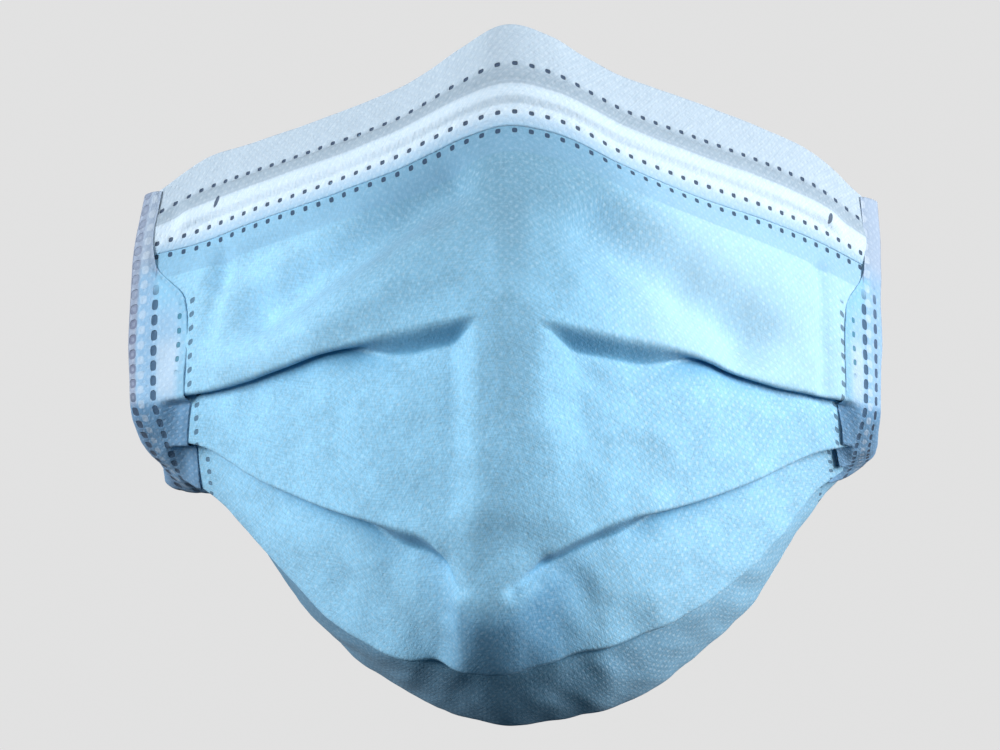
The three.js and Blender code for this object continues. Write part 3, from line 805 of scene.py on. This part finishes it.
def binding_cloth(sizes):
    paint = Paint("binding_spunbond")
    from_edge, t, right = paint.parts("cloth")
    outward, below_first, front = paint.parts("place")
    outer_row, inner_row, dot_row = paint.parts("welds")
    left = 1 - right
    fibres = paint.fibres(outward, t)
    bonds = paint.bonds(outward, t, sizes.bond_pitch / MM)
    tone = fibres * 0.2 + 0.5
    strip = opaque(sizes.binding_colour)
    over_cloth = paint.blend(shade(strip, 0.88), shade(strip, 1.1), tone)
    between = paint.blend(rgb(126, 176, 220), rgb(176, 213, 242), tone)
    beyond = paint.blend(rgb(132, 146, 174), rgb(172, 188, 210), tone)
    upper = paint.blend(rgb(148, 166, 192), rgb(192, 208, 228), tone)
    # Painted shade on the binding below the first pleat, where it steps in
    low = paint.blend(rgb(76, 126, 172), rgb(116, 168, 210), tone)
    behind = paint.blend(rgb(206, 220, 232), rgb(234, 240, 246), tone)
    scallop = paint.welds(t + DASH_PITCH / 2, outer_row + 1.9, DASH_PITCH, 0.75, 0.7, 0.5)
    gleam = below_first.bump(-5, 3, 4) * inner_row.rise(0, -1.5)
    near_edge = from_edge.rise(2.8, 0.4) * below_first.rise(2, 0)
    near_top = below_first.rise(-13, -19) * inner_row.rise(1.2, -0.6)
    blend_in = near_edge.math("MAXIMUM", near_top) * below_first.rise(-23.5, -22) * front
    fine_line = inner_row.bump(0.3, 0.08, 0.12) * below_first.rise(-21, -23) * front
    rim = outward.rise(RIM - 0.4, RIM)
    left_mark = paint.welds(t, outer_row, DASH_PITCH, 0.84, 0.8) * left
    right_mark = paint.welds(t, outer_row, DASH_PITCH, 0.86, 0.46) * right
    right_mark = right_mark * below_first.rise(-23, -19)
    outer = left_mark + right_mark
    ring = paint.welds(t, outer_row, DASH_PITCH, 0.36, 0.34) * left
    faded = below_first.rise(-3, 2)
    outer_mark = (outer - ring * (1 - faded) * 0.6) * front
    inner = paint.welds(t, inner_row, DASH_PITCH, 0.92, 0.64) * below_first.rise(-22, -17) * front
    dots = paint.welds(t, dot_row, DOT_PITCH, 0.5, 0.4) * below_first.rise(-17, -14)
    dots = dots * below_first.rise(-3, -6) * front
    far_up = below_first.rise(-14, -20, 1.0, 0.45)
    colour = paint.layers(
        over_cloth,
        (between, inner_row.rise(-0.8, 0.4) * front),
        (upper, below_first.rise(-21, -27) * front * 0.9),
        (beyond, outer_row.rise(-1.3, -0.3) * front * (1 - right * 0.85)),
        (low, below_first.rise(0.0, 2.0) * front * 0.8),
        (rgb(226, 238, 250), scallop * front * 0.35),
        (rgb(226, 236, 248), gleam * 0.35),
        (opaque(sizes.cloth_colour), blend_in * 0.8),
        (rgb(112, 124, 156), fine_line * 0.6),
        # Painted highlights: bond points a little lighter
        (rgb(236, 246, 252), bonds * 0.12),
        (rgb(92, 98, 128), rim * 0.7),
        (rgb(96, 102, 134), outer_mark * (1 - faded) * far_up * 0.66),
        (rgb(52, 84, 116), right_mark * front * 0.7),
        (rgb(48, 66, 92), outer_mark * faded * 0.85),
        (rgb(52, 84, 116), inner * 0.88),
        (rgb(40, 122, 150), dots * 0.8),
        (behind, 1 - front),
    )
    relief = fibres * 0.3 - bonds * 0.3 - (inner + outer * front + dots) * 1.8
    return paint.cloth(colour, relief, STRIP_RELIEF, 0.85)


def soft_aluminium(sizes):
    paint = Paint("soft_aluminium")
    geometry = paint.node("ShaderNodeNewGeometry", {}, {}, "Position")
    place = paint.node("ShaderNodeSeparateXYZ", {}, {"Vector": geometry}).socket.node.outputs
    x, z = Value(paint, place["X"]), Value(paint, place["Z"])
    drawn = paint.noise(x * 90, z * 2600, 3.0)
    metal = opaque(sizes.wire_colour)
    colour = paint.blend(shade(metal, 0.75), metal, drawn)
    normal = paint.node("ShaderNodeBump", {}, {"Strength": 0.6, "Distance": 0.00003, "Height": drawn})
    roughness = drawn.rise(0, 1, 0.3, 0.5)
    values = {"Base Color": colour, "Metallic": 1.0, "Roughness": roughness, "Normal": normal}
    paint.finish(paint.node("ShaderNodeBsdfPrincipled", {}, values))
    return paint.material


def backdrop_finish(sizes):
    paint = Paint("pale_backdrop")
    grey = opaque(sizes.backdrop_colour)
    values = {"Base Color": shade(grey, 0.02), "Emission Color": grey, "Emission Strength": 1.0,
              "Roughness": 1.0, "Specular IOR Level": 0.0}
    paint.finish(paint.node("ShaderNodeBsdfPrincipled", {}, values))
    return paint.material


def share_out(made, node):
    """Makes a piece ride on the one body, in the place of its CAD node, which it hides."""
    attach(made, "root")
    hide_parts(node)


def make_body(sizes):
    surface = Surface(np.linspace(-1, 1, BODY_COLUMNS), sizes)
    # crease is the painted shade in and below the pleats
    way, depth, crease = cloth_path(surface)
    middle = depth - CAD_SKIN + BODY_WALL / 2
    along = hem_lengths(surface)[:, None]
    run = length_along(stacked(way.T, depth.T)).T
    uneven = wrinkle_field(along, way, *BODY_SWELLS) + wrinkle_field(along, way, *BODY_WRINKLES)
    sides = [surface.placed(side[..., 0], side[..., 1], uneven)
             for side in wall_sides(way, middle, BODY_WALL)]
    ends = np.where(surface.u < 0, along[0, 0], along[-1, 0])[:, None]
    start = np.where(surface.u < 0, SIDE_DOTS_LEFT, SIDE_DOTS_RIGHT)[:, None]
    side_row = np.abs(ends - along) - start
    attributes = {
        "cloth": [stacked(along, run, inner) for inner in (0, 1)],
        "place": [stacked(way - surface.way(HEM_ROW), side_row, crease)] * 2,
        "rows": [stacked(surface.middle.row_at(way), 0, 0)] * 2,
    }
    made = wall_object("mask_cloth", sides, attributes, blue_cloth(sizes))
    share_out(made, "mask_body")


def make_hem(sizes):
    surface = Surface(np.linspace(-1, 1, HEM_COLUMNS), sizes)
    depth = surface.way(HEM_ROW)
    edge = HEM_FRONT * depth
    front = mix(edge, HEM_TOP, np.linspace(0, 1, HEM_FRONT_STEPS))
    past = (np.abs(surface.u) - WIRE_REACH)[:, None]
    rise = CHANNEL_RISE * (1 - smooth(*CHANNEL_ENDS, past))
    from_wire = np.abs(front - WIRE_PLACE * depth)
    channel = rise * smooth(CHANNEL_FLAT + CHANNEL_RAMP, CHANNEL_FLAT, from_wire)
    front_depth = -STRIP_OFF - channel
    angles = np.linspace(0, math.pi, HEM_TURN_STEPS)[1:-1]
    middle = (BACK_OFF - STRIP_OFF) / 2
    radius = (BACK_OFF + STRIP_OFF) / 2
    turn = HEM_TOP - radius * np.sin(angles) + 0 * depth
    turn_depth = middle - radius * np.cos(angles) + 0 * depth
    back = mix(HEM_TOP, HEM_BACK * depth, np.linspace(0, 1, HEM_BACK_STEPS))
    back_depth = np.full_like(back, BACK_OFF)
    way = np.concatenate([front, turn, back], 1)
    middle_depth = np.concatenate([front_depth, turn_depth, back_depth], 1)
    along = hem_lengths(surface)[:, None]
    counts = [part.shape[1] for part in (front, turn, back)]
    in_front, facing = np.repeat([1.0, 0, 0], counts), np.repeat([1.0, 1, 0], counts)
    pitch = sizes.weld_pitch / MM
    from_point = np.abs((along / pitch) % 1 - 0.5) * pitch
    dents = 0
    for row in WELD_ROWS:
        off = np.hypot(from_point, way - row * depth)
        dents = dents + WELD_DENT * np.exp(-((off / WELD_DENT_REACH) ** 2))
    uneven = wrinkle_field(along, way, *HEM_WRINKLES) * smooth(edge, edge - 3, way)
    at_edge = smooth(edge - HEM_THIN, edge, way) * in_front
    wall = STRIP_WALL * mix(1, THIN_EDGE, at_edge)
    settled = middle_depth + (STRIP_WALL - wall) / 2 + HEM_SETTLES * at_edge + dents * in_front
    sides = [surface.placed(side[..., 0], side[..., 1] + uneven)
             for side in wall_sides(way, settled, wall[..., None])]
    attributes = {
        "cloth": [stacked(along, way, 0)] * 2,
        "place": [stacked(way / depth, depth, facing)] * 2,
    }
    slits = [float(np.interp(u, surface.u, along[:, 0])) for u in SLIT_PLACES]
    made = wall_object("top_hem_cloth", sides, attributes, white_hem(sizes, slits))
    share_out(made, "top_hem")


def front_flap_depth(surface, row, follow_share):
    """How deep a binding's front flap lies, with the surface's columns one to a point."""
    way = surface.way(row)
    dip = np.zeros_like(way)
    for index, (pleat_row, _, _) in enumerate(PLEATS):
        past = way - surface.way(pleat_row)
        follow = FOLLOW * smooth(*FOLLOW_BELOW, past) * panel_depth(surface, index, way)
        dip = np.where(past > 0, follow, dip)
    over_hem = BINDING_OFF + STRIP_WALL + LAYER_GAP
    return follow_share * dip - mix(over_hem, BINDING_OFF, smooth(HEM_ROW, FRONT_SETTLED, row))


def back_flap_depth(edge, rows):
    """How deep a binding's back flap lies at rows down the side edge."""
    way = edge.way(rows)
    deepest = (STRIP_WALL + LAYER_GAP) * (1 - smooth(HEM_ROW, BACK_SETTLED, rows))
    for index, (pleat_row, _, _) in enumerate(PLEATS):
        valley = edge.way(pleat_row) - PLEAT_LAP
        layer = panel_depth(edge, index, np.maximum(way, valley))
        deepest = np.maximum(deepest, layer * smooth(valley - BACK_SETTLE, valley, way))
    deepest = np.maximum.accumulate(deepest, axis=1)[0]
    padded = np.pad(deepest, BACK_EVENED, mode="edge")
    weights = np.hanning(2 * BACK_EVENED + 1)
    return BACK_OFF + np.convolve(padded, weights / weights.sum(), mode="valid")[:, None]


def make_binding(name, node, side, flaps, overhangs, dash_rows, dot_row, material, sizes):
    edge = Surface(np.array([float(side)]), sizes)
    nearer = Surface(np.array([side * (1 - EDGE_STEP)]), sizes)
    length = float(edge.way(BOTTOM_ROW)[0, 0])
    ways = np.linspace(BINDING_START, length, int(length / BINDING_STEP))[None]
    rows = edge.middle.row_at(ways)
    apart = edge.middle.point(rows) - nearer.middle.point(rows)
    per_unit = np.linalg.norm(apart, axis=-1)[0] / EDGE_STEP
    row = rows[0]
    flap = at_places(FLAP_ROWS, flaps, row)[:, None]
    outward_front = -flap * (1 - np.linspace(0, 1, FLAP_STEPS)[:-1])
    angles = np.linspace(0, math.pi, BINDING_TURN_STEPS)
    overhang = at_places(FLAP_ROWS, overhangs, row)[:, None]
    outward_turn = overhang * np.sin(angles)
    outward_back = -BACK_FLAP * np.linspace(0, 1, BACK_FLAP_STEPS)[1:] + 0 * flap
    outward = np.concatenate([outward_front, outward_turn, outward_back], 1)
    u = side * (1 + outward / per_unit[:, None])
    at_row = np.broadcast_to(row[:, None], u.shape).reshape(-1, 1)
    every = Surface(u.reshape(-1), sizes)
    follow = smooth(*FOLLOW_OUTWARD, outward).reshape(-1, 1)
    flat_depth = front_flap_depth(every, at_row, follow).reshape(u.shape)
    front = front_flap_depth(edge, rows, 0)[0][:, None]
    back = back_flap_depth(edge, rows)
    turn_depth = (front + back) / 2 - (back - front) / 2 * np.cos(angles)
    count = outward_front.shape[1]
    depth = np.concatenate([flat_depth[:, :count], turn_depth, back + 0 * outward_back], 1)
    way = ways[0][:, None]
    centres = [at_places(FLAP_ROWS, places, row)[:, None] for places in dash_rows]
    is_front = np.concatenate([np.ones(count), np.cos(angles) > -0.2, np.zeros(outward_back.shape[1])])
    from_point = np.abs((way / DASH_PITCH) % 1 - 0.5) * DASH_PITCH
    below_first = way - edge.way(2)[0, 0]
    for centre in centres:
        off = np.hypot(from_point / DASH_DENT_LONG, outward - centre)
        dent = DASH_DENT * np.exp(-((off / DASH_DENT_REACH) ** 2))
        depth = depth + dent * is_front * smooth(-20, -16, below_first)
    seed, *waves = BINDING_WRINKLES
    depth = depth + wrinkle_field(outward, way, seed + side, *waves)
    at_edge = smooth(FLAP_THIN, 0, outward + flap) * is_front
    wall = BINDING_WALL * mix(1, THIN_EDGE, at_edge)
    depth = depth + FLAP_SETTLES * at_edge + (BINDING_WALL - wall) / 2
    end = mix(*END_SHIFTS[side], (outward + flap) / (flap + overhang))
    end = end * np.exp((way - length) / END_FADE)
    top = TOP_TILT * np.maximum(0, outward - TOP_TILT_FROM) * np.exp(-way / TOP_FADE)
    at_row = edge.middle.row_at((way + end - top).reshape(1, -1)).reshape(-1, 1)
    swing = LOW_SWINGS[side] * smooth(*SWING_ROWS, row)[:, None] * smooth(*SWING_OUTWARD, outward)
    sides = []
    for part in wall_sides(outward, depth, wall[..., None]):
        columns = Surface((side * (1 + part[..., 0] / per_unit[:, None])).reshape(-1), sizes)
        points = columns.middle.point(at_row) + columns.inward(at_row) * part[..., 1].reshape(-1, 1, 1)
        points = points.reshape(*outward.shape, 3)
        points[..., 0] += side * swing
        sides.append(points)
    attributes = {
        "cloth": [stacked(outward + flap, way, max(side, 0))] * 2,
        "place": [stacked(outward - overhang + RIM, below_first, is_front)] * 2,
        "welds": [stacked(outward - centres[0], outward - centres[1], outward - dot_row)] * 2,
    }
    made = wall_object(name, sides, attributes, material)
    share_out(made, node)


def soft_lamp(name, place, size, watts):
    light = bpy.data.lights.new(name, "AREA")
    light.shape = "RECTANGLE"
    light.size, light.size_y = size
    light.energy = watts
    lamp = new_object(name, light)
    lamp.location = place
    lamp.rotation_euler = (Vector((0, 0, 0)) - Vector(place)).to_track_quat("-Z", "Y").to_euler()


def make_stage(sizes):
    # The backdrop's section, from the floor's middle up to the wall's top
    section = [(FLOOR_INNER, FLOOR_Z), (FLOOR_REACH, FLOOR_Z)]
    for i in range(1, ROOM_BEND_STEPS + 1):
        angle = math.pi / 2 * i / ROOM_BEND_STEPS
        rise = ROOM_BEND * (1 - math.cos(angle))
        section.append((FLOOR_REACH + ROOM_BEND * math.sin(angle), FLOOR_Z + rise))
    section.append((FLOOR_REACH + ROOM_BEND, WALL_TOP))
    turns = [2 * math.pi * k / ROOM_SIDES for k in range(ROOM_SIDES)]
    points = [(r * math.cos(turn), r * math.sin(turn), z) for r, z in section for turn in turns]
    faces = [tuple(range(ROOM_SIDES))]
    for i in range(len(section) - 1):
        for k in range(ROOM_SIDES):
            a, b = i * ROOM_SIDES + k, i * ROOM_SIDES + (k + 1) % ROOM_SIDES
            faces.append((a, b, b + ROOM_SIDES, a + ROOM_SIDES))
    backdrop = new_object("backdrop", new_mesh("backdrop", points, faces, backdrop_finish(sizes)))
    # The backdrop is seen but lights nothing, so the mask's underside stays dark
    backdrop.visible_diffuse = False
    backdrop.visible_glossy = False
    for lamp in LAMPS:
        soft_lamp(*lamp)
    world = bpy.data.worlds.new("studio")
    bpy.context.scene.world = world
    world.use_nodes = True
    background = world.node_tree.nodes["Background"]
    background.inputs["Color"].default_value = SKY_COLOUR
    background.inputs["Strength"].default_value = SKY_STRENGTH
    camera_data = bpy.data.cameras.new("camera")
    camera_data.lens = CAMERA_LENS
    camera_data.clip_start = 0.01
    camera = new_object("camera", camera_data)
    camera.location = CAMERA_PLACE
    camera.rotation_euler = (math.pi / 2, 0, 0)
    bpy.context.scene.camera = camera
    bpy.context.scene.view_settings.view_transform = "Standard"


def length_property(name, description, default):
    return bpy.props.FloatProperty(
        name=name, description=description, default=default, min=0, unit="LENGTH", precision=4
    )


def colour_property(name, description, red, green, blue):
    return bpy.props.FloatVectorProperty(
        name=name, description=description, default=rgb(red, green, blue)[:3],
        size=3, min=0, max=1, subtype="COLOR",
    )


class MaskSizes(bpy.types.PropertyGroup):
    """Sizes and colours of the mask"""

    worn_height: length_property("Worn height", "From the nose to the chin", 0.126)
    half_width: length_property("Half width", "From the middle line to a side edge", 0.068)
    nose_depth: length_property("Nose depth", "From the side edges to the ridge", 0.05)
    bond_pitch: length_property("Bond pitch", "From one bond point to the next", 0.00125)
    weld_pitch: length_property("Weld pitch", "From one weld point of a row to the next", 0.0029)
    cloth_colour: colour_property("Cloth", "Colour of the blue cloth", 146, 206, 241)
    hem_colour: colour_property("Hem", "Colour of the hem over the wire", 230, 244, 254)
    binding_colour: colour_property("Bindings", "Colour of the side bindings", 160, 201, 234)
    weld_colour: colour_property("Welds", "Colour of the weld points", 44, 66, 96)
    wire_colour: colour_property("Wire", "Colour of the nose wire", 214, 214, 218)
    backdrop_colour: colour_property("Backdrop", "Colour of the floor and backdrop", 225, 225, 225)


class MASK_OT_body(bpy.types.Operator):
    """Builds the pleated blue cloth"""

    bl_idname = "mask.body"
    bl_label = "Pleated Cloth"

    def execute(self, context):
        make_body(context.scene.face_mask)
        return {"FINISHED"}


class MASK_OT_hem(bpy.types.Operator):
    """Builds the white hem over the top edge and the nose wire"""

    bl_idname = "mask.hem"
    bl_label = "Top Hem"

    def execute(self, context):
        make_hem(context.scene.face_mask)
        return {"FINISHED"}


class MASK_OT_bindings(bpy.types.Operator):
    """Builds the strips folded round both side edges"""

    bl_idname = "mask.bindings"
    bl_label = "Side Bindings"

    def execute(self, context):
        sizes = context.scene.face_mask
        cloth = binding_cloth(sizes)
        make_binding("left_binding_cloth", "side_binding_left", -1, FLAP_LEFT, OVERHANG_LEFT,
                     DASHES_LEFT, INNER_DOTS_LEFT, cloth, sizes)
        make_binding("right_binding_cloth", "side_binding_right", 1, FLAP_RIGHT, OVERHANG_RIGHT,
                     DASHES_RIGHT, INNER_DOTS_RIGHT, cloth, sizes)
        return {"FINISHED"}


class MASK_OT_wire(bpy.types.Operator):
    """Finishes the nose wire as soft aluminium"""

    bl_idname = "mask.wire"
    bl_label = "Nose Wire"

    def execute(self, context):
        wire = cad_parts["nose_wire"]
        wire.data.materials.clear()
        wire.data.materials.append(soft_aluminium(context.scene.face_mask))
        return {"FINISHED"}


class MASK_OT_sheets(bpy.types.Operator):
    bl_idname = "mask.sheets"
    bl_label = "Declare Cloth"

    def execute(self, context):
        return {"FINISHED"}


class MASK_OT_stage(bpy.types.Operator):
    """Builds the backdrop, the lamps and the camera"""

    bl_idname = "mask.stage"
    bl_label = "Stage"

    def execute(self, context):
        make_stage(context.scene.face_mask)
        return {"FINISHED"}


class MASK_PT_panel(bpy.types.Panel):
    """Lists the mask's pieces, sizes and colours"""

    bl_label = "Face Mask"
    bl_idname = "MASK_PT_panel"
    bl_space_type = "VIEW_3D"
    bl_region_type = "UI"
    bl_category = "Face Mask"

    def draw(self, context):
        for step in STEPS:
            self.layout.operator(step.bl_idname)
        for name in MaskSizes.__annotations__:
            self.layout.prop(context.scene.face_mask, name)


STEPS = (MASK_OT_stage, MASK_OT_body, MASK_OT_hem, MASK_OT_bindings, MASK_OT_wire, MASK_OT_sheets)
CLASSES = (MaskSizes, *STEPS, MASK_PT_panel)


def register():
    for cls in CLASSES:
        bpy.utils.register_class(cls)
    bpy.types.Scene.face_mask = bpy.props.PointerProperty(type=MaskSizes)


def unregister():
    del bpy.types.Scene.face_mask
    for cls in reversed(CLASSES):
        bpy.utils.unregister_class(cls)


def main():
    register()
    bpy.ops.mask.stage()
    bpy.ops.mask.body()
    bpy.ops.mask.hem()
    bpy.ops.mask.bindings()
    bpy.ops.mask.wire()
    bpy.ops.mask.sheets()


if __name__ == "__main__":
    main()
